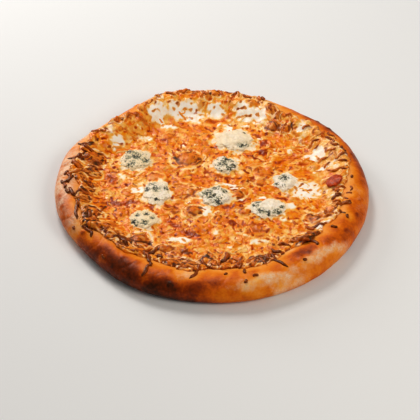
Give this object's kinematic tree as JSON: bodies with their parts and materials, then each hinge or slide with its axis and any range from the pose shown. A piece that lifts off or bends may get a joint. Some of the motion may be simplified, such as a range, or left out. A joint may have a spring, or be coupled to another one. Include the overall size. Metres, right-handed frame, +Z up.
{
  "type": "cheese pizza",
  "caption": "Whole round cheese pizza: baked crust with a puffed rim, melted grated cheese up the rim, lumps of blue cheese and a piece of tomato.",
  "frame": {"origin": "middle of the flat underside of the crust, on the surface that the pizza lies on", "axes": "+Z up through the middle; -Y towards the viewer of the picture, +X to the viewer's right"},
  "size_m": [0.3001, 0.3028, 0.0253],
  "materials": {
    "baked_crust": "matte baked dough with a faint oily sheen, golden to dark brown",
    "melted_cheese": "oily melted cheese, orange with cream and toasted brown patches",
    "blue_cheese": "soft crumbly cream cheese with dark grey-green mould",
    "tomato": "wet glossy cooked tomato"
  },
  "bodies": {
    "root": {"crust": "baked_crust", "cheese": "melted_cheese", "blue_cheese_1": "blue_cheese", "blue_cheese_2": "blue_cheese", "blue_cheese_3": "blue_cheese", "blue_cheese_4": "blue_cheese", "blue_cheese_5": "blue_cheese", "blue_cheese_6": "blue_cheese", "blue_cheese_7": "blue_cheese", "blue_cheese_8": "blue_cheese", "tomato": "tomato"}
  },
  "joints": []
}
